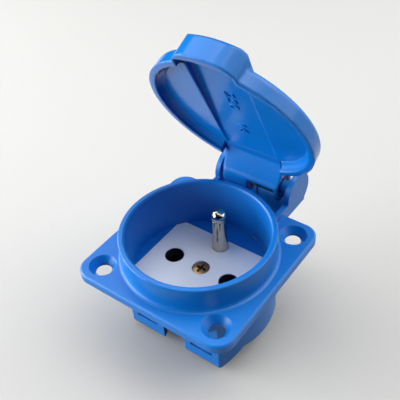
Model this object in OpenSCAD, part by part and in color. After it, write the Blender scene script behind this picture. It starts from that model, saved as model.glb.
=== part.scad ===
// Panel socket outlet with a fixed earth pin, a square flange and a hinged lid.
// Origin: on the socket's axis, in the plane of the flange's back face, which lies on the panel.
// +Z points out of the panel towards the plug, +Y towards the hinge.
// The lid is drawn open by lid_open degrees.

/* [Flange] */
// Side of the square flange
flange_side = 50; // [48:0.5:56]
// Thickness of the flange
flange_t = 2.5; // [2:0.1:3.5]
// Radius of the flange's corners
flange_corner = 5; // [4:0.5:6]
// Bevel of the flange's upper edge
flange_edge = 0.5; // [0.3:0.1:0.8]
// Distance between the fixing holes
hole_pitch = 38; // [37:0.5:40]
// Diameter of the fixing holes
hole_d = 4.5; // [3.5:0.1:5]
// Diameter of the countersink at the flange's face
sink_d = 7.8; // [6:0.1:8.4]
// Depth of the countersink
sink_depth = 2; // [1:0.1:2.2]

/* [Collar and recess] */
// Outer radius of the collar
collar_r = 21.8; // [21.4:0.1:22]
// Height of the collar above the flange's back face
collar_top = 10.25; // [9.5:0.25:11]
// Radius of the recess at its mouth
mouth_r = 20; // [19.6:0.1:20.3]
// Radius of the recess at its floor
floor_r = 19.6; // [19:0.1:19.8]
// Depth of the recess below the collar's rim
recess_depth = 15.25; // [14.5:0.25:16]
// Thickness of the recess floor
floor_t = 1.5; // [1.2:0.1:1.8]
// Rounding of the collar's rim
rim_round = 0.45; // [0.2:0.05:0.6]
// Radius of the concave rounding at the collar's foot
foot_round = 1.1; // [0.6:0.1:1.5]

/* [Rear shell] */
// Radius of the round rear shell
shell_r = 21.5; // [21.2:0.1:21.7]
// Wall of the rear shell
shell_wall = 1.7; // [1.5:0.1:1.9]
// Half the distance between the two flat sides
flat_y = 14.7; // [14.5:0.1:15.2]
// Thickness of the flat sides and their legs
leg_t = 1.4; // [1.3:0.1:1.6]
// Depth of the rear shell below the panel face
shell_depth = 17.5; // [17:0.25:18.5]
// Depth of the snap legs below the panel face
leg_depth = 23.5; // [23:0.25:24.5]
// Width of the gap between two legs
leg_gap = 7.4; // [7:0.2:9]
// Width of each snap window
window_w = 7.4; // [6.8:0.2:7.6]
// Web between a snap window and the gap
window_web = 2.3; // [2:0.1:2.6]
// Height of the sill below each snap window
sill_h = 3.6; // [3:0.1:4]
// Height of each snap window
window_h = 4.7; // [4.4:0.1:5]

/* [Hinge] */
// Distance of the hinge axis from the socket's axis
hinge_y = 30.1; // [29.8:0.1:30.6]
// Height of the hinge axis above the flange's back face
hinge_z = 7.9; // [7.7:0.1:8.2]
// Inner distance between the two ears
ear_gap = 22.6; // [22.2:0.2:23.4]
// Thickness of each ear
ear_t = 1.6; // [1.4:0.1:2]
// Distance from the hinge axis to the ear's front face
ear_front = 3.45; // [3.2:0.05:3.6]
// Distance from the hinge axis to the ear's rear face
ear_rear = 6.4; // [5.8:0.1:6.8]
// Height of the ear above the hinge axis
ear_rise = 3.8; // [3.4:0.1:4]
// Thickness of the bridge between the ears
bridge_t = 1.5; // [1.2:0.1:1.8]
// Height of the web between the collar and each ear
web_top = 4.6; // [4:0.1:5.4]
// Radius of the ear's front shoulder
ear_nose = 6; // [4:0.5:6.5]
// Diameter of the hinge pin
pin_d = 4.2; // [3.8:0.1:4.3]

/* [Lid] */
// Angle by which the lid stands open
lid_open = 63.8; // [0:0.1:110]
// Outer radius of the lid at its rim
lid_r = 24.4; // [24.2:0.1:24.8]
// Inner radius of the lid's rim
lid_inner_r = 22.65; // [22.4:0.05:22.8]
// Draft of the lid's skirt
lid_draft = 0.2; // [0:0.05:0.3]
// Height of the lid above its rim
lid_h = 5; // [4.8:0.1:5.6]
// Rounding of the lid's shoulder
lid_shoulder = 1.6; // [1:0.1:2]
// Depth of the lid's inside at its sides
lid_inside = 2.6; // [2.5:0.1:2.8]
// Radius of the front edge of the thumb tab
tab_r = 27.3; // [27:0.1:28]
// Radius of the tab's corners
tab_corner = 6.5; // [4:0.5:7]
// Half the width of the raised band and the tab
band_half = 9.7; // [9.4:0.1:10]
// Height of the band above the rim at the tab
band_h = 6.9; // [6.4:0.1:7.1]
// Bevel of the band's upper edges
band_bevel = 0.9; // [0.6:0.1:1.2]
// Half the width of the channel inside the band
channel_half = 8.4; // [7.8:0.1:8.5]
// Depth of the channel above the rim at the tab
channel_h = 5.1; // [4.6:0.1:5.3]
// Wall in front of the hollow under the tab
tab_wall = 1.9; // [1.6:0.1:2.2]
// Half the width of the arm where it leaves the cap
arm_half = 9.8; // [9.5:0.1:11]
// Distance of the crease between the lid's inside and its arm from the socket's axis
crease_y = 21.6; // [21.4:0.1:21.9]
// Outer radius of the hinge barrel
barrel_r = 4.5; // [4.3:0.1:4.7]
// Length of the hinge barrel
barrel_w = 18.2; // [17.8:0.1:18.4]
// Radius of the spring chamber in the barrel
chamber_r = 3.3; // [3.2:0.05:3.4]
// Length of the spring chamber
chamber_w = 9.3; // [9:0.1:9.6]
// Wall between the spring chamber and the barrel's right end
chamber_end = 0.5; // [0.5:0.05:0.8]
// Angle at which the spring slot begins while the lid stands open, from +Y towards +Z
slot_from = 164; // [163:1:180]
// Angle at which the spring slot ends
slot_to = 325; // [323:1:328]

/* [Face plate] */
// Half the width of the face plate
plate_half_x = 16.6; // [16.2:0.1:17]
// Half the height of the face plate
plate_half_y = 12.9; // [12.4:0.1:12.95]
// Height of the face plate above the recess floor
plate_proud = 0.2; // [0.1:0.05:0.3]
// Depth of the face plate below the recess floor
plate_below = 1.7; // [1.5:0.1:2]
// Distance between the two pin holes
pin_pitch = 19; // [18.8:0.1:19.2]
// Diameter of the pin holes
pin_hole_d = 5.4; // [5.2:0.1:5.6]
// Chamfer at the mouth of each pin hole
pin_hole_lip = 0.3; // [0.2:0.05:0.4]

/* [Earth pin] */
// Distance of the earth pin from the socket's axis
earth_y = 10; // [9.8:0.1:10.2]
// Length of the earth pin above the face plate
earth_h = 14.2; // [13.8:0.1:14.6]
// Diameter of the earth pin at the face plate
earth_base_d = 4.8; // [4.7:0.05:4.9]
// Diameter of the earth pin's shank
earth_d = 4.1; // [4:0.05:4.3]
// Diameter of the earth pin's rounded head
earth_head_d = 4.4; // [4.2:0.05:4.5]
// Diameter of the threaded foot of the earth pin
earth_foot_d = 3.5; // [3:0.1:3.5]

/* [Contact carrier] */
// Depth of the carrier's block below the panel face
block_depth = 25; // [24.8:0.1:25.6]
// Half the length of the carrier's block
block_half_x = 15; // [14.8:0.1:15.6]
// Half the width of the carrier's block
block_half_y = 9.8; // [9.7:0.1:10]
// Chamfer along the block's rear edges
block_chamfer = 2.2; // [1.8:0.1:2.3]
// Reach of each snap catch beyond the carrier
catch_reach = 1.4; // [1.2:0.1:1.6]
// Height of each snap catch
catch_h = 4.1; // [3.8:0.1:4.2]

/* [Contacts] */
// Thickness of the contact strip
strip_t = 0.7; // [0.6:0.05:0.8]
// Width of the contact strip
strip_w = 6; // [5.6:0.1:6.2]
// Gap between the two contact leaves at their neck
neck_gap = 4.9; // [4.7:0.1:5]
// Outward spread of the leaves at their ends
leaf_spread = 0.85; // [0.6:0.05:0.95]
// Height of the contact leaves
leaf_h = 7; // [6.6:0.1:7.2]
// Thickness of the steel clip around the leaves
clip_t = 0.4; // [0.3:0.05:0.45]
// Height of the steel clip
clip_h = 2; // [1.8:0.1:2.1]

/* [Terminals] */
// Width of the brass terminal blocks
terminal_w = 6; // [5.6:0.1:6.2]
// Length of the brass terminal blocks
terminal_l = 5.8; // [5.4:0.1:6]
// Height of the brass terminal blocks
terminal_h = 6.7; // [6.5:0.1:6.8]
// Wall of the terminal blocks above the wire hole
wire_roof = 1.6; // [1.5:0.1:1.7]
// Diameter of the wire holes
wire_d = 3.4; // [3:0.1:3.6]
// Diameter of the terminal screws
clamp_d = 3; // [2.8:0.1:3.2]

/* [Fasteners] */
// Diameter of the face screw's head
head_d = 5; // [4.8:0.1:5.2]
// Diameter of the face screw's shank
shank_d = 3; // [2.8:0.1:3.2]
// Width of the square nut across its flats
nut_w = 5.5; // [5.2:0.1:5.8]
// Thickness of the square nut
nut_t = 2.4; // [2:0.1:2.6]

/* [Clearances] */
// Clearance between parts that lie in one another
fit = 0.15; // [0.1:0.01:0.2]
// Clearance between faces that lie on one another
seat = 0.05; // [0.02:0.01:0.08]
// Radial clearance of the lid on its pin
run = 0.05; // [0.02:0.01:0.08]

/* [Hidden] */
$fn = 96;
eps = 0.01;

blue = "#2b86e0";
insert_grey = "#b9c0ce";
brass = "#c9a24a";
steel = "#b4b8bd";

// Recess floor and face plate
floor_top = collar_top - recess_depth;
floor_under = floor_top - floor_t;
plate_top = floor_top + plate_proud;
plate_under = floor_under - plate_below;
inner_r = shell_r - shell_wall;
inner_y = flat_y - leg_t;
pin_x = pin_pitch / 2;

// Contact carrier
carrier_top = plate_under - seat;
sill_z = -leg_depth + sill_h;
window_mid = leg_gap / 2 + window_web + window_w / 2;
catch_w = window_w - 5 * fit;
chamber_half_x = neck_gap / 2 + leaf_spread + strip_t + 4 * fit;
chamber_half_y = strip_w / 2 + clip_t + 4 * fit;
strip_z = -shell_depth + 0.6;

// Terminal blocks
terminal_top = strip_z - seat;
terminal_y = chamber_half_y - 0.5 + terminal_l / 2;
earth_terminal_y = block_half_y - terminal_w / 2;
wire_z = terminal_top - wire_roof - wire_d / 2;
clamp_tip = wire_z - wire_d / 2 - 0.1;
clamp_head_z = terminal_top - terminal_h - 0.2;

// Earth pin and strap
earth_recess_z = -12;
earth_collar_t = 1.2;
earth_collar_r = inner_y - fit - earth_y;
earth_strap_t = 0.8;
earth_washer_t = 0.7;
earth_washer_r = 3;
earth_nut_t = 2.4;
earth_nut_w = 6;
earth_nut_r = earth_nut_w / 2 / cos(30);
earth_foot_z = earth_recess_z - 4.6;
earth_inner_y = earth_terminal_y - terminal_w / 2;

// Hinge
ear_x = ear_gap / 2;
pin_r = pin_d / 2;
chamber_x = barrel_w / 2 - chamber_end - chamber_w;
lid_z = hinge_z + 0.1;
rim_to_axis = hinge_z - lid_z;
arm_reach = norm([hinge_y - crease_y, lid_inside - rim_to_axis]);
arm_aim = barrel_r - 0.2;
arm_fall = atan((lid_inside - rim_to_axis) / (hinge_y - crease_y)) + asin(arm_aim / arm_reach);
arm_run = sqrt(arm_reach * arm_reach - arm_aim * arm_aim);
spring_wire = 0.6;
spring_r = pin_r + 0.2 + spring_wire / 2;
spring_turns = 7;
spring_steps = 14;
spring_sides = 6;
spring_from = 275;
spring_leg_y = -0.2;

// Plan outlines

module rounded_square(half, r) {
    square([2 * half, 2 * (half - r)], center = true);
    square([2 * (half - r), 2 * half], center = true);
    for (x = [-1, 1], y = [-1, 1])
        translate([x * (half - r), y * (half - r)])
            circle(r);
}

module round_with_flats(r, half_y) {
    intersection() {
        circle(r);
        square([3 * r, 2 * half_y], center = true);
    }
}

module face_outline(grow) {
    intersection() {
        circle(floor_r + grow);
        square([2 * (plate_half_x + grow), 2 * (plate_half_y + grow)], center = true);
    }
}

// A plate with corner radius r whose upper edge is bevelled by f
module soft_plate(half, r, h, f) {
    for (turn = [0, 90])
        rotate([90, 0, turn])
            linear_extrude(2 * (half - r), center = true)
                polygon([
                    [-half, 0],
                    [half, 0],
                    [half, h - f],
                    [half - f, h],
                    [-half + f, h],
                    [-half, h - f]
                ]);
    for (x = [-1, 1], y = [-1, 1])
        translate([x * (half - r), y * (half - r), 0]) {
            cylinder(h = h - f, r = r);
            translate([0, 0, h - f])
                cylinder(h = f, r1 = r, r2 = r - f);
        }
}

// Housing: flange, collar, recess, rear shell with snap legs, and hinge ears

module collar_section() {
    top = collar_top;
    difference() {
        union() {
            translate([0, floor_under])
                square([shell_r, flange_t - floor_under]);
            square([collar_r, top - rim_round]);
            square([collar_r - rim_round, top]);
            translate([collar_r - rim_round, top - rim_round])
                circle(rim_round, $fn = 32);
            square([collar_r + foot_round, flange_t + foot_round]);
        }
        translate([collar_r + foot_round, flange_t + foot_round])
            circle(foot_round, $fn = 48);
    }
}

module recess_section() {
    polygon([
        [0, floor_top],
        [floor_r, floor_top],
        [mouth_r, collar_top - rim_round],
        [mouth_r + rim_round, collar_top],
        [mouth_r + rim_round, collar_top + 1],
        [0, collar_top + 1]
    ]);
}

// Side view of the shell's lower edge: full depth at the flats, rising to the round sides
module leg_side_view() {
    rise = leg_depth - shell_depth;
    half = flat_y + 1;
    knee = flat_y - 1.4;
    difference() {
        translate([-half, -leg_depth])
            square([2 * half, leg_depth]);
        polygon([
            [-knee, -leg_depth - 1],
            [-knee, -leg_depth + 1],
            [-knee + rise - 1, -shell_depth],
            [knee - rise + 1, -shell_depth],
            [knee, -leg_depth + 1],
            [knee, -leg_depth - 1]
        ]);
        for (side = [-1, 1])
            polygon([
                [side * knee, -leg_depth - 1],
                [side * (knee - 0.01), -leg_depth + 1],
                [side * (knee + 1), -leg_depth],
                [side * (knee + 1), -leg_depth - 1]
            ]);
    }
}

module rear_shell() {
    difference() {
        intersection() {
            translate([0, 0, -leg_depth])
                linear_extrude(leg_depth + floor_under)
                    round_with_flats(shell_r, flat_y);
            rotate([90, 0, 90])
                linear_extrude(4 * shell_r, center = true)
                    leg_side_view();
        }
        translate([0, 0, -leg_depth - 1])
            linear_extrude(leg_depth + 1 + floor_under)
                round_with_flats(inner_r, inner_y);
        translate([-leg_gap / 2, -flat_y - 1, -leg_depth - 1])
            cube([leg_gap, 2 * flat_y + 2, leg_depth - shell_depth + 1]);
        for (side = [-1, 1])
            translate([side * window_mid - window_w / 2, -flat_y - 1, sill_z])
                cube([window_w, 2 * flat_y + 2, window_h]);
    }
}

module ear_side_view() {
    front = hinge_y - ear_front;
    rear = hinge_y + ear_rear;
    top = hinge_z + ear_rise;
    back = 2;
    translate([front, 0])
        square([rear - front, top - ear_nose]);
    translate([front + ear_nose, 0])
        square([rear - back - front - ear_nose, top]);
    intersection() {
        translate([front + ear_nose, top - ear_nose])
            circle(ear_nose);
        translate([front, 0])
            square([2 * ear_nose, top]);
    }
    translate([rear - back, top - back])
        circle(back, $fn = 48);
    translate([rear - 2 * back, 0])
        square([2 * back, top - back]);
}

module hinge_bracket() {
    for (side = [-1, 1])
        mirror([side < 0 ? 1 : 0, 0, 0])
            translate([ear_x, 0, 0]) {
                rotate([90, 0, 90])
                    linear_extrude(ear_t)
                        ear_side_view();
                translate([0, mouth_r - 2, 0])
                    cube([ear_t, hinge_y - ear_front - mouth_r + 3, web_top]);
            }
    translate([-ear_x - ear_t, flange_side / 2 - 2, 0])
        cube([2 * (ear_x + ear_t), hinge_y + ear_rear - flange_side / 2 + 2, bridge_t]);
}

module drilled_flange() {
    difference() {
        soft_plate(flange_side / 2, flange_corner, flange_t, flange_edge);
        translate([0, 0, -1])
            cylinder(h = flange_t + 2, r = shell_r - 0.6);
        for (x = [-1, 1], y = [-1, 1])
            translate([x * hole_pitch / 2, y * hole_pitch / 2, -1]) {
                cylinder(h = flange_t + 2, d = hole_d);
                translate([0, 0, 1 + flange_t - sink_depth])
                    cylinder(h = sink_depth + eps, d1 = hole_d, d2 = sink_d);
            }
    }
}

module cup() {
    difference() {
        rotate_extrude()
            difference() {
                collar_section();
                recess_section();
            }
        translate([0, 0, floor_under - 1])
            linear_extrude(floor_t + 2)
                face_outline(fit);
    }
}

module housing() {
    color(blue) {
        drilled_flange();
        cup();
        rear_shell();
        difference() {
            hinge_bracket();
            translate([0, 0, -1])
                cylinder(h = collar_top, r = shell_r - 0.6);
            translate([0, hinge_y, hinge_z])
                rotate([0, 90, 0])
                    cylinder(h = 4 * ear_x, r = pin_r + 0.02, center = true);
        }
    }
}

// Lid: round cap with a raised band that ends in the thumb tab, and the hinge barrel

module lid_section() {
    r = lid_r - lid_draft;
    h = lid_h;
    f = lid_shoulder;
    polygon([[0, 0], [lid_r, 0], [r, h - f], [0, h - f]]);
    square([r - f, h]);
    translate([r - f, h - f])
        intersection() {
            circle(f);
            square(f);
        }
}

// A long bar of width 2 * half, its top bevelled by f, that falls from front_h at the tab
// to back_h at the hinge side of the rim
module sloping_bar(half, front_h, back_h, f) {
    drop = atan((front_h - back_h) / (tab_r + lid_r));
    translate([0, -tab_r, front_h])
        rotate([-drop, 0, 0])
            translate([0, -lid_r, 0])
                rotate([-90, 0, 0])
                    linear_extrude(4 * lid_r)
                        polygon([
                            [-half, f],
                            [-half + f, 0],
                            [half - f, 0],
                            [half, f],
                            [half, 12],
                            [-half, 12]
                        ]);
}

// Plan of the band and of the tab, whose corners have the radius tab_corner
module band_plan() {
    c = tab_corner;
    x = band_half - c;
    y = sqrt(pow(tab_r - c, 2) - x * x);
    intersection() {
        circle(tab_r);
        polygon([[0, 0], [-2 * x, -2 * y], [2 * x, -2 * y]]);
    }
    for (side = [-1, 1])
        translate([side * x, -y])
            circle(c, $fn = 48);
    translate([-band_half, -y])
        square([2 * band_half, y + lid_r - 1.4]);
}

module band() {
    difference() {
        intersection() {
            linear_extrude(2 * lid_h)
                band_plan();
            sloping_bar(band_half, band_h, lid_h, band_bevel);
        }
        rotate_extrude()
            polygon([
                [tab_r - band_bevel, band_h],
                [tab_r + 1, band_h - band_bevel - 1],
                [tab_r + 1, band_h + 2],
                [tab_r - band_bevel, band_h + 2]
            ]);
    }
}

// The inside of the cap, open to the hinge side over the width of the arm
module lid_hollow() {
    translate([0, 0, -1])
        linear_extrude(lid_inside + 1) {
            circle(lid_inner_r);
            translate([-arm_half, 0])
                square([2 * arm_half, lid_r + 1]);
        }
    intersection() {
        translate([0, 0, -1])
            cylinder(h = 3 * lid_h, r = tab_r - tab_wall);
        sloping_bar(channel_half, channel_h, lid_inside, 0.4);
        translate([-2 * lid_r, -2 * lid_r, -1])
            cube([4 * lid_r, 2 * lid_r + lid_inner_r - 4, 4 * lid_h]);
    }
}

module arm_side_view() {
    polygon([
        [crease_y - cos(arm_fall), lid_inside + sin(arm_fall)],
        [crease_y + arm_run * cos(arm_fall), lid_inside - arm_run * sin(arm_fall)],
        [hinge_y, rim_to_axis],
        [hinge_y - 0.6, rim_to_axis + barrel_r - 0.25],
        [crease_y - 0.6, lid_h - 0.2]
    ]);
}

// The arm narrows in plan from arm_half at the cap to the barrel's length
module arm() {
    end = barrel_w / 2 - 0.1;
    intersection() {
        translate([0, 0, -2 * barrel_r])
            linear_extrude(4 * barrel_r)
                polygon([
                    [-arm_half, crease_y - 2],
                    [arm_half, crease_y - 2],
                    [arm_half, crease_y + 0.7],
                    [end, hinge_y - 0.6],
                    [end, hinge_y + 1],
                    [-end, hinge_y + 1],
                    [-end, hinge_y - 0.6],
                    [-arm_half, crease_y + 0.7]
                ]);
        rotate([90, 0, 90])
            linear_extrude(4 * arm_half, center = true)
                arm_side_view();
    }
}

// The lid lying closed, its rim in the plane z = 0
module closed_lid() {
    difference() {
        union() {
            rotate_extrude()
                lid_section();
            band();
        }
        lid_hollow();
    }
    difference() {
        arm();
        translate([0, hinge_y, rim_to_axis])
            rotate([0, 90, 0])
                cylinder(h = 4 * band_half, r = barrel_r - 0.6, center = true);
    }
    translate([0, hinge_y, rim_to_axis])
        difference() {
            rotate([0, 90, 0])
                cylinder(h = barrel_w, r = barrel_r, center = true);
            rotate([0, 90, 0])
                cylinder(h = 2 * barrel_w, r = pin_r + run, center = true);
            translate([chamber_x, 0, 0])
                rotate([90, 0, 90])
                    linear_extrude(chamber_w)
                        spring_chamber();
        }
}

// Side view of the spring chamber and of its slot between slot_from and slot_to, which are
// measured from +Y towards +Z with the lid open
module spring_chamber() {
    reach = 2 * barrel_r;
    middle = (slot_from + slot_to) / 2;
    circle(chamber_r);
    rotate(lid_open)
        polygon([
            [0, 0],
            [reach * cos(slot_from), reach * sin(slot_from)],
            [2 * reach * cos(middle), 2 * reach * sin(middle)],
            [reach * cos(slot_to), reach * sin(slot_to)]
        ]);
}

module lid() {
    color(blue)
        translate([0, hinge_y, hinge_z])
            rotate([-lid_open, 0, 0])
                translate([0, -hinge_y, lid_z - hinge_z])
                    closed_lid();
}

module hinge_pin() {
    color(steel)
        translate([0, hinge_y, hinge_z])
            rotate([0, 90, 0])
                cylinder(h = 2 * (ear_x + ear_t), r = pin_r, center = true);
}

// Leg spring: a coil around the hinge pin and a leg that stands on the bridge

function coil_point(i) = let (a = spring_from + i * 360 / spring_steps)
    [i * (chamber_w - 2) / (spring_turns * spring_steps), spring_r * cos(a), spring_r * sin(a)];

spring_path = concat(
    [[0, spring_leg_y, bridge_t + 2 * seat - hinge_z], [0, spring_leg_y, -spring_r - 0.5]],
    [[0, spring_leg_y / 2, -spring_r - 0.12]],
    [for (i = [0:spring_turns * spring_steps]) coil_point(i)]
);

function unit(v) = v / norm(v);

function path_way(path, i) =
    unit(path[min(i + 1, len(path) - 1)] - path[max(i - 1, 0)]);

function ring(p, along) = let (out = unit([1, 0, 0] - along.x * along), side = cross(along, out))
    [for (k = [0:spring_sides - 1]) let (a = k * 360 / spring_sides)
        p + spring_wire / 2 * (cos(a) * out + sin(a) * side)];

module swept(path) {
    n = spring_sides;
    last = len(path) - 1;
    points = [for (i = [0:last]) each ring(path[i], path_way(path, i))];
    faces = concat(
        [[for (k = [0:n - 1]) k]],
        [[for (k = [n - 1:-1:0]) last * n + k]],
        [for (i = [0:last - 1], k = [0:n - 1])
            [i * n + k, (i + 1) * n + k, (i + 1) * n + (k + 1) % n, i * n + (k + 1) % n]]
    );
    polyhedron(points, faces, convexity = 10);
}

module lid_spring() {
    color(steel)
        translate([chamber_x + 1, hinge_y, hinge_z])
            swept(spring_path);
}

// Face plate with the pin holes, the earth pin's hole and the seat of the face screw

module face_plate() {
    color(insert_grey)
        difference() {
            union() {
                translate([0, 0, floor_under - seat])
                    linear_extrude(plate_top - floor_under + seat)
                        face_outline(0);
                translate([0, 0, plate_under])
                    linear_extrude(plate_below - seat)
                        round_with_flats(inner_r - fit, inner_y - fit);
            }
            for (side = [-1, 1])
                translate([side * pin_x, 0, 0]) {
                    translate([0, 0, plate_under - 1])
                        cylinder(h = 10, d = pin_hole_d);
                    translate([0, 0, plate_top - pin_hole_lip])
                        cylinder(h = pin_hole_lip + eps, d1 = pin_hole_d, d2 = pin_hole_d + 2 * pin_hole_lip);
                }
            translate([0, earth_y, plate_under - 1])
                cylinder(h = 10, d = earth_base_d + 2 * seat);
            translate([0, 0, plate_under - 1])
                cylinder(h = 10, d = shank_d + 2 * fit);
            translate([0, 0, plate_top - 2])
                cylinder(h = 3, d = head_d + 4 * seat);
        }
}

module face_screw() {
    head_under = plate_top - 2;
    dome = 9;
    color(brass)
        difference() {
            union() {
                intersection() {
                    translate([0, 0, head_under])
                        cylinder(h = 3, d = head_d);
                    translate([0, 0, plate_top - 0.1 - dome])
                        sphere(dome);
                }
                translate([0, 0, carrier_top - 7.5])
                    cylinder(h = head_under - carrier_top + 7.6, d = shank_d);
            }
            for (turn = [0, 90])
                rotate(turn)
                    translate([-1.4, -0.3, plate_top - 1.3])
                        cube([2.8, 0.6, 3]);
        }
}

module face_nut() {
    color(brass)
        translate([0, 0, carrier_top - 5 - nut_t])
            difference() {
                translate([-nut_w / 2, -nut_w / 2, 0])
                    cube([nut_w, nut_w, nut_t]);
                translate([0, 0, -1])
                    cylinder(h = nut_t + 2, d = shank_d + 2 * seat);
            }
}

// Earth pin, strap, washer and nut

module earth_pin() {
    neck = plate_top + earth_h - earth_head_d * 0.72;
    head_r = earth_head_d / 2;
    color(steel)
        translate([0, earth_y, 0])
            rotate_extrude() {
                polygon([
                    [0, earth_foot_z],
                    [earth_foot_d / 2, earth_foot_z],
                    [earth_foot_d / 2, carrier_top - earth_collar_t],
                    [earth_collar_r, carrier_top - earth_collar_t],
                    [earth_collar_r, carrier_top],
                    [earth_base_d / 2, carrier_top],
                    [earth_base_d / 2, plate_top + 0.3],
                    [(earth_base_d + earth_d) / 4 + 0.08, plate_top + 2.6],
                    [earth_d / 2, plate_top + 5.5],
                    [earth_d / 2, neck],
                    [0, neck]
                ]);
                intersection() {
                    translate([0, plate_top + earth_h - head_r])
                        circle(head_r);
                    translate([0, neck - 2 * head_r + 0.2])
                        square([head_r, 4 * head_r]);
                }
            }
}

module earth_strap() {
    half = terminal_l / 2;
    color(brass)
        difference() {
            union() {
                translate([-half, earth_inner_y, earth_recess_z - earth_strap_t - seat])
                    cube([2 * half, earth_y + half - earth_inner_y, earth_strap_t]);
                translate([-half, earth_inner_y, terminal_top + seat])
                    cube([2 * half, earth_strap_t, earth_recess_z - seat - terminal_top - seat]);
            }
            translate([0, earth_y, earth_recess_z - 3])
                cylinder(h = 4, d = earth_foot_d + 2 * seat);
        }
}

module earth_washer() {
    color(steel)
        translate([0, earth_y, earth_recess_z - earth_strap_t - earth_washer_t - 2 * seat])
            difference() {
                cylinder(h = earth_washer_t, r = earth_washer_r);
                translate([0, 0, -1])
                    cylinder(h = earth_washer_t + 2, d = earth_foot_d + 2 * seat);
            }
}

module earth_nut() {
    color(steel)
        translate([0, earth_y, earth_recess_z - earth_strap_t - earth_washer_t - earth_nut_t - 3 * seat])
            difference() {
                cylinder(h = earth_nut_t, r = earth_nut_r, $fn = 6);
                translate([0, 0, -1])
                    cylinder(h = earth_nut_t + 2, d = earth_foot_d + 2 * seat);
            }
}

// Contact carrier: the moulding behind the face plate that holds contacts and terminals

module catch_side_view() {
    foot = sill_z + 0.2;
    wall = inner_y - fit;
    polygon([
        [block_half_y - 1, foot],
        [wall + catch_reach, foot],
        [wall + catch_reach, foot + 0.8],
        [wall, foot + catch_h],
        [block_half_y - 1, foot + catch_h]
    ]);
}

module carrier_block() {
    low = -block_depth;
    rotate([90, 0, 90])
        linear_extrude(2 * block_half_x, center = true)
            polygon([
                [-block_half_y, -shell_depth + 1],
                [-block_half_y, low + block_chamfer],
                [-block_half_y + block_chamfer, low],
                [block_half_y - block_chamfer, low],
                [block_half_y, low + block_chamfer],
                [block_half_y, -shell_depth + 1]
            ]);
}

module contact_carrier() {
    color(blue)
        difference() {
            union() {
                translate([0, 0, -shell_depth])
                    linear_extrude(shell_depth + carrier_top)
                        round_with_flats(inner_r - fit, inner_y - fit);
                carrier_block();
                for (turn = [0, 180], side = [-1, 1])
                    rotate(turn)
                        translate([side * window_mid, 0, 0])
                            rotate([90, 0, 90])
                                linear_extrude(catch_w, center = true)
                                    catch_side_view();
            }
            for (side = [-1, 1])
                mirror([side < 0 ? 1 : 0, 0, 0])
                    translate([pin_x, 0, 0])
                        pole_pockets();
            translate([0, 0, -shell_depth - 3])
                cylinder(h = 20, d = shank_d + 2 * fit);
            translate([-nut_w / 2 - fit, -nut_w / 2 - fit, -shell_depth - 1])
                cube([nut_w + 2 * fit, nut_w + 2 * fit, shell_depth + 1 + carrier_top - 5]);
            earth_pockets();
        }
}

module pole_pockets() {
    translate([-chamber_half_x, -chamber_half_y, strip_z])
        cube([2 * chamber_half_x, 2 * chamber_half_y, 20]);
    translate([0, 0, -block_depth + 0.7])
        cylinder(h = 20, d = pin_hole_d + 2 * fit);
    translate([-strip_w / 2 - fit, -block_half_y + 0.4, strip_z])
        cube([strip_w + 2 * fit, block_half_y, 20]);
    translate([-terminal_w / 2 - fit, -terminal_y - terminal_l / 2 - fit, -block_depth - 1])
        cube([terminal_w + 2 * fit, terminal_l + 2 * fit, block_depth + 1 + strip_z + eps]);
    translate([0, -terminal_y, wire_z])
        rotate([0, 90, 0])
            cylinder(h = 20, d = wire_d + 0.6);
}

module earth_pockets() {
    collar_half = earth_collar_r + fit;
    nut_half = earth_nut_r + fit;
    translate([0, earth_y, carrier_top - earth_collar_t - seat])
        cylinder(h = 5, r = collar_half);
    translate([-collar_half, earth_y, carrier_top - earth_collar_t - seat])
        cube([2 * collar_half, inner_y, 5]);
    translate([0, earth_y, -shell_depth - 10])
        cylinder(h = 30, d = earth_foot_d + 2 * fit);
    translate([-nut_half, earth_inner_y - fit, -shell_depth - 10])
        cube([2 * nut_half, inner_y, shell_depth + 10 + earth_recess_z]);
}

// Contacts: a base strip with a pin hole, two curved leaves and a clip around them

function leaf_offset(t) = neck_gap / 2 + leaf_spread * (1 - sin(180 * t));

module leaf_section() {
    steps = 12;
    low = strip_z + strip_t;
    polygon(concat(
        [for (i = [0:steps]) [leaf_offset(i / steps), low + leaf_h * i / steps]],
        [for (i = [steps:-1:0]) [leaf_offset(i / steps) + strip_t, low + leaf_h * i / steps]]
    ));
}

module contact() {
    half_x = leaf_offset(0) + strip_t;
    color(brass)
        difference() {
            union() {
                for (side = [-1, 1])
                    rotate([90, 0, 0])
                        linear_extrude(strip_w, center = true)
                            mirror([side < 0 ? 1 : 0, 0])
                                leaf_section();
                translate([-half_x, -strip_w / 2, strip_z + seat])
                    cube([2 * half_x, strip_w, strip_t]);
                translate([-strip_w / 2, -terminal_y - terminal_l / 2, strip_z + seat])
                    cube([strip_w, terminal_y + terminal_l / 2, strip_t]);
            }
            translate([0, 0, strip_z - 1])
                cylinder(h = 3, d = pin_hole_d);
        }
}

module contact_clip() {
    inner_x = neck_gap / 2 + strip_t + 0.18;
    inner_y = strip_w / 2 + seat;
    middle = strip_z + strip_t + leaf_h / 2;
    color(steel)
        translate([0, 0, middle - clip_h / 2])
            linear_extrude(clip_h)
                difference() {
                    square([2 * (inner_x + clip_t), 2 * (inner_y + clip_t)], center = true);
                    square([2 * inner_x, 2 * inner_y], center = true);
                    translate([-1.5, 0])
                        square([3, 3 * inner_y]);
                }
}

module line_contact() {
    translate([pin_x, 0, 0])
        contact();
}

module neutral_contact() {
    translate([-pin_x, 0, 0])
        contact();
}

module line_contact_clip() {
    translate([pin_x, 0, 0])
        contact_clip();
}

module neutral_contact_clip() {
    translate([-pin_x, 0, 0])
        contact_clip();
}

// Terminal blocks with a wire hole along X and a screw hole from the rear

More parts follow.
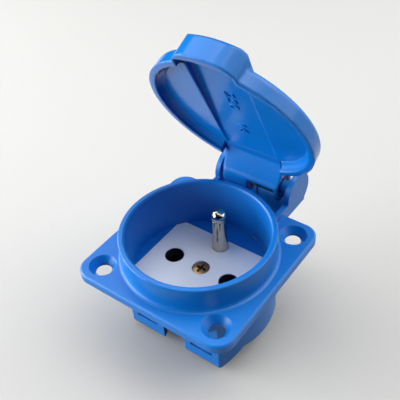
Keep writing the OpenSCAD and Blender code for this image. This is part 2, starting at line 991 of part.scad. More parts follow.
module terminal_block() {
    color(brass)
        difference() {
            translate([-terminal_w / 2, -terminal_l / 2, terminal_top - terminal_h])
                cube([terminal_w, terminal_l, terminal_h]);
            translate([0, 0, wire_z])
                rotate([0, 90, 0])
                    cylinder(h = 2 * terminal_w, d = wire_d, center = true);
            translate([0, 0, terminal_top - terminal_h - 1])
                cylinder(h = 1 + wire_z - terminal_top + terminal_h, d = clamp_d + 2 * seat);
        }
}

module clamp_screw() {
    head_t = 1;
    color(steel)
        difference() {
            union() {
                translate([0, 0, clamp_head_z])
                    cylinder(h = clamp_tip - clamp_head_z, d = clamp_d);
                translate([0, 0, clamp_head_z - head_t])
                    cylinder(h = head_t + eps, d = clamp_d + 1);
            }
            translate([-3, -0.35, clamp_head_z - head_t - 1])
                cube([6, 0.7, 1.6]);
        }
}

module line_terminal() {
    translate([pin_x, -terminal_y, 0])
        terminal_block();
}

module neutral_terminal() {
    translate([-pin_x, -terminal_y, 0])
        terminal_block();
}

module earth_terminal() {
    translate([0, earth_terminal_y, 0])
        rotate(90)
            terminal_block();
}

module terminal_screws() {
    for (place = [[pin_x, -terminal_y], [-pin_x, -terminal_y], [0, earth_terminal_y]])
        translate(place)
            clamp_screw();
}

housing();
face_plate();
face_screw();
face_nut();
earth_pin();
earth_washer();
earth_nut();
earth_strap();
contact_carrier();
line_contact();
neutral_contact();
line_contact_clip();
neutral_contact_clip();
line_terminal();
neutral_terminal();
earth_terminal();
terminal_screws();
lid();
hinge_pin();
lid_spring();
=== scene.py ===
"""Blue panel socket outlet with a hinged lid: finishes, fine pieces, stage and camera.

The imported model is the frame. Everything here is in metres in that frame: the origin lies on
the socket's axis in the plane of the flange's back face, +Z points out of the panel, and the
lid stands open.
"""

import math

import bmesh
import bpy
import numpy as np
from mathutils import Matrix, Vector


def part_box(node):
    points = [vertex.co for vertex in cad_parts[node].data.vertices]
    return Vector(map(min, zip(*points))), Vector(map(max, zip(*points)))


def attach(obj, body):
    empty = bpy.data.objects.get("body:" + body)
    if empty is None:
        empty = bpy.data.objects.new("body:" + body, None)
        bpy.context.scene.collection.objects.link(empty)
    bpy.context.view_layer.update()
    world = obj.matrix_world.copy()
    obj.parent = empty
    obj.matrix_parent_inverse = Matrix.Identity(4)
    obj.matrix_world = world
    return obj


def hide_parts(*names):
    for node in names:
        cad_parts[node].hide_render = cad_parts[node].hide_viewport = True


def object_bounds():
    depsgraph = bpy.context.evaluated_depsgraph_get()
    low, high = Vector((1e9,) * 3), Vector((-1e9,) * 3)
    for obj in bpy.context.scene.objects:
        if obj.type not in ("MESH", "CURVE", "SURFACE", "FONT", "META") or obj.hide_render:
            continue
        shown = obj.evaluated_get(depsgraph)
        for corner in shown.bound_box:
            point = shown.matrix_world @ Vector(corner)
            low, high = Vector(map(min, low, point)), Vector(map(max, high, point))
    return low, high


bl_info = {
    "name": "Panel Socket Outlet",
    "version": (1, 0, 0),
    "blender": (4, 5, 0),
    "location": "3D View > Sidebar > Socket",
    "description": "Finishes a panel socket outlet with a hinged lid and sets it on a studio floor",
    "category": "Add Mesh",
}

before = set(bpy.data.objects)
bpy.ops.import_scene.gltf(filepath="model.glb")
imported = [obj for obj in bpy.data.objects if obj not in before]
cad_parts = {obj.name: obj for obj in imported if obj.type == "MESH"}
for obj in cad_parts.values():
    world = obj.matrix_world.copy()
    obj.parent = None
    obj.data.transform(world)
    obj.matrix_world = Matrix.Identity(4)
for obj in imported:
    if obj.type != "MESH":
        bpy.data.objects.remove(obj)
CAD_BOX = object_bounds()
MM = 0.001

# The hinge, the lid's opening, and how far the closed lid's rim stands above the hinge line
HINGE = Vector((0, 30.1 * MM, 7.9 * MM))
LID_OPEN = math.radians(63.8)
RIM_RISE = 0.1 * MM

# The closed lid, with heights above its rim: radii of the cap and the tab, the channel's roof
# at the tab and at the hinge, the radius inside the skirt and the floor beside the channel
LID_R, TAB_R = 24.4 * MM, 27.3 * MM
CHANNEL_FRONT, CHANNEL_BACK = 5.1 * MM, 2.6 * MM
SKIRT_R, LID_FLOOR = 22.65 * MM, 2.6 * MM

# Where a fillet starts and ends at the channel's wall, in degrees from +X towards +Y on the closed lid
FILLET_FROM, FILLET_TO = -66.5, 64.2

# Numbers in the channel, and where each one's line starts along the closed lid
NUMERALS = (("250", -8.2 * MM), ("16", 5.2 * MM))

# Moulded plastics: settings of the body's colour and of the deeper one, size of the grain,
# radius of the rounded edges, least and greatest roughness, and height of the sink waves
PLASTICS = {
    "moulded_blue_polyamide": ("blue", "blue_deep", 0.3 * MM, 0.3 * MM, 0.3, 0.42, 0.02 * MM),
    "gloss_moulded_blue_polyamide": ("blue", "blue_deep", 0.3 * MM, 0.9 * MM, 0.14, 0.24, 0.07 * MM),
    "carrier_blue_polyamide": ("blue", "blue_deep", 0.3 * MM, 0.2 * MM, 0.3, 0.42, 0.02 * MM),
    "raised_blue_polyamide": ("blue", "blue_deep", 0.3 * MM, 0.1 * MM, 0.22, 0.3, 0.02 * MM),
    "moulded_grey_polyamide": ("insert", "insert_deep", 0.25 * MM, 0.2 * MM, 0.3, 0.42, 0.02 * MM),
}
# Less than polyamide's own 1.53: the photograph's sheen is fainter than that would give
POLYAMIDE_IOR = 1.45
# Share of white mixed into rounded edges: a painted highlight
EDGE_HIGHLIGHT_WHITE = 0.08

# Painted shade in bores: the plane that each is round in, its axis, its radius and the dark colour painted on
# its walls for the shade deep inside. The mirror images of a bore in the planes of the axes count as well
SPRING_CHAMBER_SHADE = ((0, 1, 1), tuple(HINGE), 3.38 * MM, "#06204a")
PIN_HOLE_SHADE = ((1, 1, 0), (9.5 * MM, 0, 0), 2.8 * MM, "#24262c")

# Plated and drawn metals: setting of the colour, colour where the plate is thinner, least and
# greatest roughness, size of the clouds, and radius of the rounded edges
METALS = {
    "machined_brass": ("brass", "#b48c3c", 0.25, 0.38, 2 * MM, 0.15 * MM),
    "zinc_plated_steel": ("zinc", "#a3a6ab", 0.28, 0.42, 1.5 * MM, 0.15 * MM),
    "drawn_spring_steel": ("spring", "#77797e", 0.22, 0.34, 1 * MM, 0.05 * MM),
    "drawn_spring_wire": ("spring", "#6d6f73", 0.22, 0.34, 1 * MM, 0.05 * MM),
    "yellow_passivated_steel": ("passivate", "#7b6446", 0.28, 0.42, 0.7 * MM, 0.08 * MM),
}
METAL_NODES = {
    "machined_brass": ("line_contact", "neutral_contact", "line_terminal", "neutral_terminal", "earth_terminal"),
    "zinc_plated_steel": ("face_nut", "earth_washer", "earth_nut", "earth_strap", "terminal_screws"),
    "drawn_spring_steel": ("line_contact_clip", "neutral_contact_clip"),
}
THIN_NICKEL = "#b7b2a6"

# Edges sharper than this stay sharp
SHARP_EDGE = math.radians(35)

# The floor is a disc, and the pale backdrop shows beyond it
FLOOR_R, FLOOR_SIDES = 0.42, 64
PAPER, PAPER_SHADE = "#c3c3c1", "#bebebc"
BACKDROP_COLOUR = (1.0, 1.0, 0.99, 1.0)

# Each light's name, turn from the front towards the right and height in degrees, and side in metres
LIGHTS = (
    ("left", 309, 15, 0.4),
    ("left_back", 279, 15, 0.4),
    ("right_back", 149, 18, 0.8),
    ("right_top", 144, 58, 0.4),
    ("back_top", 242, 58, 0.4),
    ("top", 0, 90, 0.4),
    ("right", 129, 46, 0.8),
    ("front_left", 342, 4, 0.3),
    ("bounce", 0, -90, 1.2),
)
# Lights that fill shade and leave no highlight
DULL_LIGHTS = ("front_left", "bounce")
# The point that every light faces
LIGHT_AIM = Vector((0, 0, 10 * MM))

# Width of the camera's sensor in millimetres
SENSOR = 36


def linear(code):
    """Scene-linear red, green and blue of an sRGB hex colour such as "#3a8cda"."""
    srgb = np.array([int(code[i:i + 2], 16) for i in (1, 3, 5)]) / 255
    return tuple(np.where(srgb <= 0.04045, srgb / 12.92, ((srgb + 0.055) / 1.055) ** 2.4))


# Settings that a user would change


def colour(name, description, code):
    return bpy.props.FloatVectorProperty(
        name=name, description=description, default=linear(code), size=3, min=0, max=1, subtype="COLOR"
    )


def length(name, description, size, least, **limits):
    """A length whose default and least value are given in millimetres."""
    return bpy.props.FloatProperty(
        name=name, description=description, default=size * MM, min=least * MM, unit="LENGTH", **limits
    )


def angle(name, description, degrees):
    return bpy.props.FloatProperty(
        name=name, description=description, default=math.radians(degrees), subtype="ANGLE"
    )


def power(name, description, watts):
    return bpy.props.FloatProperty(
        name=name, description=description, default=watts, min=0, unit="POWER"
    )


class FinishSettings(bpy.types.PropertyGroup):
    """Colours of the outlet's finishes."""

    blue: colour("Blue", "Blue of the moulded housing and lid", "#0974ca")
    blue_deep: colour("Deep blue", "Blue where the pigment lies thicker", "#0669bd")
    insert: colour("Insert", "Pale grey of the face plate", "#e2e6ea")
    insert_deep: colour("Insert shade", "Grey where the face plate cooled more slowly", "#d9dee4")
    nickel: colour("Nickel", "Nickel plate on the earth pin", "#c9c4b8")
    passivate: colour("Passivate", "Dull yellow passivate on the face screw", "#a58c6a")
    brass: colour("Brass", "Brass of contacts and terminals", "#c9a14e")
    zinc: colour("Zinc", "Zinc plate on nuts, screws and the earth strap", "#b9bcc0")
    spring: colour("Spring steel", "Hardened steel of the spring and the clips", "#8f9296")


class DetailSettings(bpy.types.PropertyGroup):
    """Sizes of the fine pieces."""

    recess_span: length("Recess span", "Tip to tip of the cross recess in the face screw", 3.3, 1)
    recess_width: length("Recess width", "Width of the recess's wings", 0.75, 0.2)
    recess_depth: length("Recess depth", "Depth of the recess at its middle", 1.2, 0.2)
    thread_pitch: length("Thread pitch", "Pitch of the face screw's thread", 0.5, 0.2)
    lid_fillet: length("Lid fillet", "Radius between the lid's floor and its skirt", 1.8, 0.3, max=2 * MM)
    catch_face: length("Catch face", "Distance of the carrier's catch faces from the middle", 13.1, 11)
    wire: length("Spring wire", "Diameter of the lid spring's wire", 0.6, 0.3)
    numeral_size: length("Numeral size", "Type size of the numerals in the lid", 4.1, 1)
    numeral_rise: length("Numeral rise", "How far the numerals stand out of the lid's floor", 0.3, 0.05)


class StudioSettings(bpy.types.PropertyGroup):
    """Camera, floor and lights."""

    target: bpy.props.FloatVectorProperty(
        name="Target", description="Point that the camera looks at", subtype="TRANSLATION", unit="LENGTH",
        default=(-4.673 * MM, 7.9 * MM, 12.828 * MM)
    )
    distance: length("Distance", "Distance from the camera to its target", 178.723, 50)
    azimuth: angle("Azimuth", "Camera's turn round the socket", 38.87)
    elevation: angle("Elevation", "Camera's height angle", 41.334)
    roll: angle("Roll", "Camera's turn about its own line of sight", 4.568)
    lens: bpy.props.FloatProperty(
        name="Lens", description="Focal length on a 36 mm sensor", unit="CAMERA", default=57.79, min=10
    )
    left_power: power("Left light", "Power of the light low on the left", 3.6)
    left_back_power: power("Left back light", "Power of the light behind on the left", 2.8)
    right_back_power: power("Right back light", "Power of the light behind on the right", 1.9)
    right_top_power: power("Right top light", "Power of the light high on the right", 0.9)
    back_top_power: power("Back top light", "Power of the light high behind", 1.2)
    top_power: power("Top light", "Power of the light overhead", 0.9)
    right_power: power("Right light", "Power of the light on the right", 2.7)
    front_left_power: power("Front left light", "Power of the low light in front on the left", 1.5)
    bounce_power: power("Bounce", "Power of the even light that a floor throws back", 0.15)
    light_distance: length("Light distance", "Distance of every light from the socket", 600, 300)
    backdrop: bpy.props.FloatProperty(
        name="Backdrop", description="Brightness of the wall behind the floor", default=0.9, min=0
    )


# Materials


def add(tree, kind, inputs=None, **settings):
    """Adds one node: settings are its own properties, inputs its sockets' values or the outputs linked to them."""
    made = tree.nodes.new(kind)
    for name, value in settings.items():
        setattr(made, name, value)
    for name, value in (inputs or {}).items():
        if isinstance(value, bpy.types.NodeSocket):
            tree.links.new(value, made.inputs[name])
        else:
            made.inputs[name].default_value = value
    return made


def start(name):
    """A new material, its emptied node tree, and the output of its Object coordinates."""
    material = bpy.data.materials.new(name)
    material.use_nodes = True
    tree = material.node_tree
    tree.nodes.clear()
    return material, tree, add(tree, "ShaderNodeTexCoord").outputs["Object"]


def surface(tree, **sockets):
    """Adds the Principled shader and the material's output."""
    names = {"base": "Base Color", "rough": "Roughness", "normal": "Normal", "metal": "Metallic", "ior": "IOR"}
    shader = add(tree, "ShaderNodeBsdfPrincipled", {names[key]: value for key, value in sockets.items()})
    add(tree, "ShaderNodeOutputMaterial", {"Surface": shader.outputs["BSDF"]})


def opaque(rgb):
    return (*rgb, 1.0)


def mix(tree, amount, first, second):
    """The colour that lies by an amount on the way from the first colour to the second."""
    return add(tree, "ShaderNodeMix", {0: amount, 6: first, 7: second}, data_type="RGBA").outputs[2]


def moulded_polyamide(name, tint, bore=None):
    """One of the PLASTICS, injection moulded: an even satin colour with faint flow clouds, a surface that sinks and
    swells by a hair as thin walls do when they cool, a spark-eroded grain that breaks the gloss up, and edges
    rounded and lighter towards white, a painted highlight. Within the radius of a bore the colour is dark: painted
    shade on the walls of the pin holes and the spring's chamber."""
    body, deep, grain, edge, low, high, wave = PLASTICS[name]
    body, deep = getattr(tint, body), getattr(tint, deep)
    cloud_size, sink_size, mark_size, grain_height = 9 * MM, 8 * MM, 4 * MM, 0.05 * MM
    material, tree, place = start(name)
    clouds = add(tree, "ShaderNodeTexNoise",
                 {"Vector": place, "Scale": 1 / cloud_size, "Detail": 2.0, "Roughness": 0.5})
    flow = mix(tree, clouds.outputs["Fac"], opaque(body), opaque(deep))

    # How far the rounded normal turns from the true one shows where an edge is
    soft = add(tree, "ShaderNodeBevel", {"Radius": edge}, samples=6)
    real = add(tree, "ShaderNodeNewGeometry")
    turn = add(tree, "ShaderNodeVectorMath", {0: soft.outputs["Normal"], 1: real.outputs["Normal"]},
               operation="DOT_PRODUCT")
    # Painted highlight: rounded edges turn a little towards white, more where the rounded normal turns further
    edge_highlight = add(tree, "ShaderNodeMapRange",
               {"Value": turn.outputs["Value"], "From Min": 0.995, "From Max": 0.75, "To Min": 0.0, "To Max": 0.12})
    highlight_colour = opaque(tuple(c + EDGE_HIGHLIGHT_WHITE * (1 - c) for c in body))
    tone = mix(tree, edge_highlight.outputs["Result"], flow, highlight_colour)

    # Painted shade: inside a bore's radius the colour is mixed to a dark one that stands in for the shade there
    if bore:
        plane, axis, radius, painted_shade = bore
        flat = add(tree, "ShaderNodeVectorMath", {0: place, 1: plane}, operation="MULTIPLY")
        half = add(tree, "ShaderNodeVectorMath", {0: flat.outputs["Vector"]}, operation="ABSOLUTE")
        away = add(tree, "ShaderNodeVectorMath", {0: half.outputs["Vector"], 1: axis}, operation="DISTANCE")
        inside = add(tree, "ShaderNodeMath", {0: away.outputs["Value"], 1: radius}, operation="LESS_THAN")
        tone = mix(tree, inside.outputs["Value"], tone, opaque(linear(painted_shade)))

    sink = add(tree, "ShaderNodeTexNoise", {"Vector": place, "Scale": 1 / sink_size, "Detail": 1.0})
    swell = add(tree, "ShaderNodeBump", {"Strength": 1.0, "Distance": wave, "Height": sink.outputs["Fac"],
                                         "Normal": soft.outputs["Normal"]})
    skin = add(tree, "ShaderNodeTexNoise", {"Vector": place, "Scale": 1 / grain, "Detail": 3.0, "Roughness": 0.6})
    bump = add(tree, "ShaderNodeBump", {"Strength": 0.06, "Distance": grain_height, "Height": skin.outputs["Fac"],
                                        "Normal": swell.outputs["Normal"]})
    marks = add(tree, "ShaderNodeTexNoise", {"Vector": place, "Scale": 1 / mark_size, "Detail": 4.0})
    rough = add(tree, "ShaderNodeMapRange", {"Value": marks.outputs["Fac"], "To Min": low, "To Max": high})
    surface(tree, base=tone, rough=rough.outputs["Result"], normal=bump.outputs["Normal"], ior=POLYAMIDE_IOR)
    return material


def plated_metal(name, tint):
    """One of the METALS, plated, passivated or drawn: small clouds where the plate is thinner, gloss that varies with
    them, and edges rounded by the plating."""
    body, thin, low, high, cloud_size, edge = METALS[name]
    material, tree, place = start(name)
    clouds = add(tree, "ShaderNodeTexNoise",
                 {"Vector": place, "Scale": 1 / cloud_size, "Detail": 4.0, "Roughness": 0.55})
    tone = mix(tree, clouds.outputs["Fac"], opaque(getattr(tint, body)), opaque(linear(thin)))
    rough = add(tree, "ShaderNodeMapRange", {"Value": clouds.outputs["Fac"], "To Min": low, "To Max": high})
    soft = add(tree, "ShaderNodeBevel", {"Radius": edge}, samples=4)
    bump = add(tree, "ShaderNodeBump", {"Strength": 0.05, "Distance": 0.02 * MM, "Height": clouds.outputs["Fac"],
                                        "Normal": soft.outputs["Normal"]})
    surface(tree, base=tone, rough=rough.outputs["Result"], normal=bump.outputs["Normal"], metal=1.0)
    return material


def turned_nickel(name, tint):
    """Brass turned on a lathe and nickel plated: bright, with faint clouds in the plate and shallow rings left by the
    tool. A wave texture of scale 1 runs through 20 radians a metre, so a ring takes 2 pi / 20 of its size."""
    cloud_size, ring_pitch, ring_scale, edge = 2 * MM, 0.754 * MM, 2 * math.pi / 20, 0.2 * MM
    material, tree, place = start(name)
    clouds = add(tree, "ShaderNodeTexNoise", {"Vector": place, "Scale": 1 / cloud_size, "Detail": 3.0})
    tone = mix(tree, clouds.outputs["Fac"], opaque(tint.nickel), opaque(linear(THIN_NICKEL)))
    rings = add(tree, "ShaderNodeTexWave", {"Vector": place, "Scale": ring_scale / ring_pitch, "Distortion": 0.4},
                bands_direction="Z")
    rough = add(tree, "ShaderNodeMapRange", {"Value": clouds.outputs["Fac"], "To Min": 0.12, "To Max": 0.24})
    soft = add(tree, "ShaderNodeBevel", {"Radius": edge}, samples=4)
    bump = add(tree, "ShaderNodeBump", {"Strength": 0.06, "Distance": 0.01 * MM, "Height": rings.outputs["Fac"],
                                        "Normal": soft.outputs["Normal"]})
    surface(tree, base=tone, rough=rough.outputs["Result"], normal=bump.outputs["Normal"], metal=1.0)
    return material


def matt_paper(name):
    """Seamless backdrop paper: matt, with a faint tooth."""
    tooth_size = 0.6 * MM
    material, tree, place = start(name)
    tooth = add(tree, "ShaderNodeTexNoise", {"Vector": place, "Scale": 1 / tooth_size, "Detail": 2.0})
    tone = mix(tree, tooth.outputs["Fac"], opaque(linear(PAPER)), opaque(linear(PAPER_SHADE)))
    surface(tree, base=tone, rough=0.9, ior=1.45)
    return material


def finish_nodes(names, material):
    """Puts one material on CAD nodes; their meshes stay as they are."""
    for name in names:
        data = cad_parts[name].data
        data.materials.clear()
        data.materials.append(material)


# Meshes


def full_turn(count):
    """Evenly spaced angles of one full turn."""
    return np.linspace(0, 2 * np.pi, count, endpoint=False)


def turned(radius, height, turn):
    """Points about the Z axis: radius times cosine and sine of the turn, and the height. All three spread out over
    each other's rows and columns."""
    radius, height, turn = np.broadcast_arrays(radius, height, turn)
    return np.stack([radius * np.cos(turn), radius * np.sin(turn), height], -1)


def closed_skin(name, rings, material, body):
    """A closed skin through rings of points, as an array of rings by points by 3. Neighbouring rings are joined by
    quads that wrap round, and each end is closed by a fan of triangles to the mean of its ring. Its faces are turned
    outwards, and sharp edges stay sharp."""
    count, around = rings.shape[:2]
    points = np.vstack([rings.reshape(-1, 3), rings[0].mean(0), rings[-1].mean(0)])
    row, column = np.meshgrid(np.arange(count - 1), np.arange(around), indexing="ij")
    near, after = row * around + column, row * around + (column + 1) % around
    quads = np.stack([near, after, after + around, near + around], -1).reshape(-1, 4)
    turn, last_ring = np.arange(around), (count - 1) * around
    first = np.stack([(turn + 1) % around, turn, np.full(around, count * around)], 1)
    last = np.stack([last_ring + turn, last_ring + (turn + 1) % around, np.full(around, count * around + 1)], 1)
    mesh = bpy.data.meshes.new(name)
    mesh.from_pydata(points, [], quads.tolist() + first.tolist() + last.tolist())
    skin = bmesh.new()
    skin.from_mesh(mesh)
    bmesh.ops.recalc_face_normals(skin, faces=skin.faces)
    skin.to_mesh(mesh)
    skin.free()
    mesh.shade_smooth()
    mesh.set_sharp_from_angle(angle=SHARP_EDGE)
    mesh.materials.append(material)
    piece = bpy.data.objects.new(name, mesh)
    bpy.context.scene.collection.objects.link(piece)
    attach(piece, body)
    return piece


def wire_rings(path, radius, sides):
    """Circles of one radius around a path: each stands square to the path's direction, and its own zero is the
    direction of X with the part along the path taken off."""
    way = np.gradient(path, axis=0)
    way /= np.linalg.norm(way, axis=1, keepdims=True)
    out = np.array([1.0, 0, 0]) - way[:, :1] * way
    out /= np.linalg.norm(out, axis=1, keepdims=True)
    side = np.cross(way, out)
    turn = full_turn(sides)[None, :, None]
    return path[:, None] + radius * (np.cos(turn) * out[:, None] + np.sin(turn) * side[:, None])


def open_lid():
    """The matrix that takes a point of the closed lid to its place on the open one: a turn about the hinge. The
    height of a point of the closed lid is counted from the rim."""
    return (Matrix.Translation(HINGE) @ Matrix.Rotation(-LID_OPEN, 4, "X")
            @ Matrix.Translation((0, -HINGE.y, RIM_RISE)))


# Operators


class DressBlueMouldings(bpy.types.Operator):
    """Gives the housing, the hinge pin and the lid their moulded blue polyamide"""

    bl_idname = "socket.blue_mouldings"
    bl_label = "Blue mouldings"

    def execute(self, context):
        tint = context.scene.socket_finish
        finish_nodes(("housing", "hinge_pin"), moulded_polyamide("moulded_blue_polyamide", tint))
        # The lid's spring chamber gets painted shade on its walls
        finish_nodes(("lid",), moulded_polyamide("gloss_moulded_blue_polyamide", tint, SPRING_CHAMBER_SHADE))
        return {"FINISHED"}


class RecessCarrierCatches(bpy.types.Operator):
    """Makes the contact carrier with its catches set back in the windows of the legs"""

    bl_idname = "socket.contact_carrier"
    bl_label = "Contact carrier"

    def execute(self, context):
        """The carrier's own surface, welded, with every point beyond the catch face brought back to that face: the
        distance from the XZ plane is the smaller of its own and the face's."""
        detail, tint = context.scene.socket_detail, context.scene.socket_finish
        weld = 0.001 * MM
        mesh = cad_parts["contact_carrier"].data.copy()
        mesh.name = "contact_carrier_recessed"
        welded = bmesh.new()
        welded.from_mesh(mesh)
        bmesh.ops.remove_doubles(welded, verts=welded.verts, dist=weld)
        welded.to_mesh(mesh)
        welded.free()
        points = np.empty(3 * len(mesh.vertices))
        mesh.vertices.foreach_get("co", points)
        points = points.reshape(-1, 3)
        points[:, 1] = np.clip(points[:, 1], -detail.catch_face, detail.catch_face)
        mesh.vertices.foreach_set("co", points.ravel())
        mesh.materials.clear()
        mesh.materials.append(moulded_polyamide("carrier_blue_polyamide", tint))
        piece = bpy.data.objects.new("contact_carrier_recessed", mesh)
        context.scene.collection.objects.link(piece)
        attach(piece, "socket")
        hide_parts("contact_carrier")
        return {"FINISHED"}


class DressFacePlate(bpy.types.Operator):
    """Gives the face plate its pale moulded plastic"""

    bl_idname = "socket.face_plate"
    bl_label = "Face plate"

    def execute(self, context):
        tint = context.scene.socket_finish
        # The pin holes get painted shade on their walls
        finish_nodes(("face_plate",), moulded_polyamide("moulded_grey_polyamide", tint, PIN_HOLE_SHADE))
        return {"FINISHED"}


class DressMetal(bpy.types.Operator):
    """Gives the earth pin, contacts, clips, terminals, nuts and terminal screws their metals"""

    bl_idname = "socket.metal_parts"
    bl_label = "Metal parts"

    def execute(self, context):
        tint = context.scene.socket_finish
        finish_nodes(("earth_pin",), turned_nickel("turned_nickel_plate", tint))
        for name, nodes in METAL_NODES.items():
            finish_nodes(nodes, plated_metal(name, tint))
        return {"FINISHED"}


class TurnFaceScrew(bpy.types.Operator):
    """Makes the domed screw with a cross recess at the centre of the face plate"""

    bl_idname = "socket.face_screw"
    bl_label = "Face screw"

    def execute(self, context):
        """Height over radius and angle. The head is cut from a sphere, with its corner rounded by a quarter circle.
        The recess is a depth times two ramps: one from its wings' flanks, one from their tips to the middle. Below
        the head the radius is the shank's less a triangle wave of height and angle: the thread, which fades out
        towards the head."""
        detail, tint = context.scene.socket_detail, context.scene.socket_finish
        low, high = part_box("face_screw")
        dome, head_r, corner, head_height, break_edge = 9 * MM, 2.5 * MM, 0.25 * MM, 1.9 * MM, 0.05 * MM
        shank_r, neck_r, end_r, chamfer = 1.5 * MM, 1.6 * MM, 1.1 * MM, 0.3 * MM
        flank_ramp, tip_ramp, thread_depth, run_out = 0.07 * MM, 0.75 * MM, 0.16 * MM, 1 * MM
        face_rings, corner_rings, thread_rings, hub_r, gap = 120, 6, 150, 0.004 * MM, 0.02 * MM
        turn = full_turn(192)

        radius = np.linspace(hub_r, head_r - corner, face_rings)[:, None]
        x, y = radius * np.cos(turn), radius * np.sin(turn)
        across, along = np.minimum(abs(x), abs(y)), np.maximum(abs(x), abs(y))
        flank = np.clip((detail.recess_width / 2 - across) / flank_ramp + 0.5, 0, 1)
        tip = np.clip((detail.recess_span / 2 - along) / tip_ramp, 0, 1)
        top = high.z - dome + np.sqrt(dome**2 - radius**2) - detail.recess_depth * flank * tip

        under = high.z - head_height
        bend = np.linspace(0, np.pi / 2, corner_rings + 1)[1:]
        corner_z = high.z - dome + math.sqrt(dome**2 - (head_r - corner) ** 2) - corner
        side_r = np.append(head_r - corner + corner * np.sin(bend), [head_r, head_r - break_edge, neck_r])[:, None]
        side_z = np.append(corner_z + corner * np.cos(bend), [under + break_edge, under, under])[:, None]

        z = np.linspace(under - gap, low.z + chamfer, thread_rings)[:, None]
        turns = z / detail.thread_pitch - turn / (2 * np.pi)
        wave = 2 * abs(turns - np.floor(turns) - 0.5)
        thread_r = shank_r - thread_depth * wave * np.clip((under - z) / run_out, 0, 1)

        rings = np.concatenate([turned(radius, top, turn), turned(side_r, side_z, turn),
                                turned(thread_r, z, turn), turned([[end_r]], low.z, turn)])
        finish = plated_metal("yellow_passivated_steel", tint)
        piece = closed_skin("face_screw_turned", rings, finish, "socket")
        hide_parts("face_screw")
        return {"FINISHED"}


class WindLidSpring(bpy.types.Operator):
    """Winds the leg spring that opens inside the lid's barrel"""

    bl_idname = "socket.lid_spring"
    bl_label = "Lid spring"

    def execute(self, context):
        """A round wire along a path: a straight leg from the bridge up to the coil, a bend, and a helix around the
        hinge pin. The bend comes from a running mean over the joined path, taken a few times."""
        detail, tint = context.scene.socket_detail, context.scene.socket_finish
        low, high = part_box("lid_spring")
        coil_r, turns, first, leg_y = 2.6 * MM, 7, math.radians(275), HINGE.y - 0.2 * MM
        foot_gap, knee_gap = 0.01 * MM, 0.3 * MM
        turn_points, leg_points, smoothings, wire_sides = 48, 40, 6, 12
        wire_r = detail.wire / 2
        start_x, run = low.x + wire_r, high.x - low.x - 2 * wire_r
        turn = np.linspace(0, 2 * np.pi * turns, turns * turn_points)
        helix = np.stack([start_x + run * turn / (2 * np.pi * turns), HINGE.y + coil_r * np.cos(first + turn),
                          HINGE.z + coil_r * np.sin(first + turn)], 1)
        foot = np.array([start_x, leg_y, low.z + foot_gap])
        knee = np.array([start_x, leg_y, HINGE.z - coil_r - knee_gap])
        path = np.vstack([np.linspace(foot, knee, leg_points), helix])
        for _ in range(smoothings):
            path[1:-1] = (path[:-2] + path[1:-1] + path[2:]) / 3
        finish = plated_metal("drawn_spring_wire", tint)
        piece = closed_skin("lid_spring_wound", wire_rings(path, wire_r, wire_sides), finish, "socket")
        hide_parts("lid_spring")
        return {"FINISHED"}


class FilletLid(bpy.types.Operator):
    """Rounds the corner between the lid's floor and its skirt on both sides of the channel"""

    bl_idname = "socket.lid_fillets"
    bl_label = "Lid fillets"

    def execute(self, context):
        """A hollow quarter circle carried round the skirt's inner circle: radius is the skirt's less the fillet's
        times one minus the cosine, and height is the floor's less the fillet's times one minus the sine. Three
        points behind it, sunk in the lid's own wall, close it."""
        detail = context.scene.socket_detail
        size, sunk, bend = detail.lid_fillet, 0.15 * MM, np.linspace(0, np.pi / 2, 15)
        wall, roof = SKIRT_R + sunk, LID_FLOOR + sunk
        radius = np.append(SKIRT_R - size + size * np.cos(bend), [SKIRT_R - size, wall, wall])
        height = np.append(LID_FLOOR - size + size * np.sin(bend), [roof, roof, LID_FLOOR - size])
        around = np.radians(np.linspace(FILLET_FROM, FILLET_TO, 110))[:, None]
        for side, name in ((1, "lid_fillet_right"), (-1, "lid_fillet_left")):
            rings = turned(radius, height, around) * (side, 1, 1)
            piece = closed_skin(name, rings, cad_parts["lid"].data.materials[0], "lid")
            piece.data.transform(open_lid())
        return {"FINISHED"}


class RaiseNumerals(bpy.types.Operator):
    """Raises plain numerals on the floor of the lid's channel"""

    bl_idname = "socket.numerals"
    bl_label = "Numerals"

    def execute(self, context):
        """Each number is type drawn flat, thickened and turned into a mesh, then laid on the channel's sloping roof:
        its line runs along the lid towards the hinge, its tops point to +X, and it turns with the lid's opening."""
        detail, tint = context.scene.socket_detail, context.scene.socket_finish
        size, half_height = detail.numeral_size, 0.35 * detail.numeral_size
        drop = math.atan((CHANNEL_FRONT - CHANNEL_BACK) / (TAB_R + LID_R))
        finish = moulded_polyamide("raised_blue_polyamide", tint)
        for number, start_y in NUMERALS:
            text = bpy.data.curves.new("numeral_" + number, "FONT")
            text.body, text.size, text.space_character = number, size, 1.2
            text.extrude, text.bevel_depth, text.resolution_u = detail.numeral_rise, 0.04 * MM, 8
            drawn = bpy.data.objects.new("numeral_type", text)
            context.scene.collection.objects.link(drawn)
            mesh = bpy.data.meshes.new_from_object(drawn.evaluated_get(context.evaluated_depsgraph_get()))
            bpy.data.objects.remove(drawn)
            roof = CHANNEL_FRONT - (start_y + TAB_R) * math.tan(drop)
            lay = Matrix(((0, 1, 0, -half_height),
                          (math.cos(drop), 0, -math.sin(drop), start_y),
                          (-math.sin(drop), 0, -math.cos(drop), roof),
                          (0, 0, 0, 1)))
            mesh.transform(open_lid() @ lay)
            mesh.name = "numeral_" + number
            mesh.materials.clear()
            mesh.materials.append(finish)
            piece = bpy.data.objects.new("numeral_" + number, mesh)
            context.scene.collection.objects.link(piece)
            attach(piece, "lid")
        return {"FINISHED"}


# Stage


def direction(turn, height):
    """Unit vector that is turned about Z from -Y towards +X, and raised by the height angle."""
    return Vector((math.sin(turn) * math.cos(height), -math.cos(turn) * math.cos(height), math.sin(height)))


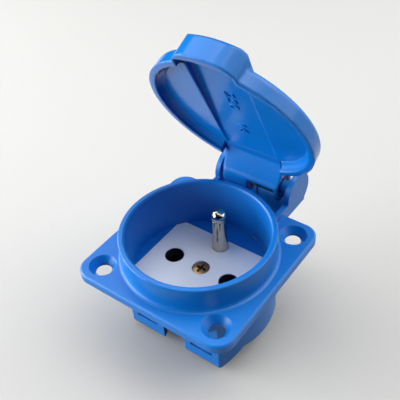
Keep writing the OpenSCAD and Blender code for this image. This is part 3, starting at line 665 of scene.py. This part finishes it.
def lay_floor(scene):
    """A disc of paper at the height of the part's lowest point. The camera and the part's gloss see it, and it
    neither tints the part's shade nor stands in a light's way."""
    mesh = bpy.data.meshes.new("floor")
    rim = turned(FLOOR_R, CAD_BOX[0].z, full_turn(FLOOR_SIDES))
    mesh.from_pydata(rim, [], [list(range(FLOOR_SIDES))])
    mesh.materials.append(matt_paper("matt_backdrop_paper"))
    floor = bpy.data.objects.new("floor", mesh)
    scene.collection.objects.link(floor)
    floor.visible_diffuse = floor.visible_shadow = False


def place_camera(scene, studio):
    """A camera where the photograph's stood, as fitted to the flange, its holes, the collar and the lid."""
    data = bpy.data.cameras.new("camera")
    data.lens, data.sensor_width = studio.lens, SENSOR
    data.clip_start, data.clip_end = 0.01, 20
    camera = bpy.data.objects.new("camera", data)
    scene.collection.objects.link(camera)
    back = direction(studio.azimuth, studio.elevation)
    camera.location = Vector(studio.target) + studio.distance * back
    turn = (-back).to_track_quat("-Z", "Y").to_matrix() @ Matrix.Rotation(-studio.roll, 3, "Z")
    camera.rotation_mode = "QUATERNION"
    camera.rotation_quaternion = turn.to_quaternion()
    scene.camera = camera


def hang_lights(scene, studio):
    """Square soft lights around the part, all at one distance and none seen by the camera itself."""
    for name, turn, height, side in LIGHTS:
        data = bpy.data.lights.new(name + "_light", "AREA")
        data.shape, data.size, data.energy = "SQUARE", side, getattr(studio, name + "_power")
        lamp = bpy.data.objects.new(name + "_light", data)
        lamp.location = studio.light_distance * direction(math.radians(turn), math.radians(height))
        lamp.rotation_euler = (LIGHT_AIM - lamp.location).to_track_quat("-Z", "Y").to_euler()
        lamp.visible_camera, lamp.visible_glossy = False, name not in DULL_LIGHTS
        scene.collection.objects.link(lamp)


def paint_backdrop(scene, studio):
    """A pale world that only the camera sees."""
    world = bpy.data.worlds.new("backdrop")
    world.use_nodes = True
    background = world.node_tree.nodes["Background"]
    background.inputs["Color"].default_value = BACKDROP_COLOUR
    background.inputs["Strength"].default_value = studio.backdrop
    scene.world = world
    world.cycles_visibility.diffuse = world.cycles_visibility.glossy = False
    scene.view_settings.view_transform = "Standard"


class BuildStage(bpy.types.Operator):
    """Sets the floor, the lights and the camera"""

    bl_idname = "socket.stage"
    bl_label = "Stage"

    def execute(self, context):
        scene, studio = context.scene, context.scene.socket_studio
        lay_floor(scene)
        place_camera(scene, studio)
        hang_lights(scene, studio)
        paint_backdrop(scene, studio)
        return {"FINISHED"}


OPERATORS = (
    DressBlueMouldings, RecessCarrierCatches, DressFacePlate, DressMetal, TurnFaceScrew, WindLidSpring, FilletLid,
    RaiseNumerals, BuildStage,
)


class SocketPanel(bpy.types.Panel):
    """Lists the socket outlet's pieces and its stage"""

    bl_idname = "VIEW3D_PT_socket"
    bl_label = "Panel socket outlet"
    bl_space_type = "VIEW_3D"
    bl_region_type = "UI"
    bl_category = "Socket"

    def draw(self, context):
        for operator in OPERATORS:
            self.layout.operator(operator.bl_idname)


CLASSES = (FinishSettings, DetailSettings, StudioSettings, *OPERATORS, SocketPanel)


def register():
    for item in CLASSES:
        bpy.utils.register_class(item)
    bpy.types.Scene.socket_finish = bpy.props.PointerProperty(type=FinishSettings)
    bpy.types.Scene.socket_detail = bpy.props.PointerProperty(type=DetailSettings)
    bpy.types.Scene.socket_studio = bpy.props.PointerProperty(type=StudioSettings)


def unregister():
    del bpy.types.Scene.socket_finish
    del bpy.types.Scene.socket_detail
    del bpy.types.Scene.socket_studio
    for item in reversed(CLASSES):
        bpy.utils.unregister_class(item)


def main():
    register()
    for operator in OPERATORS:
        group, name = operator.bl_idname.split(".")
        getattr(getattr(bpy.ops, group), name)()


if __name__ == "__main__":
    main()
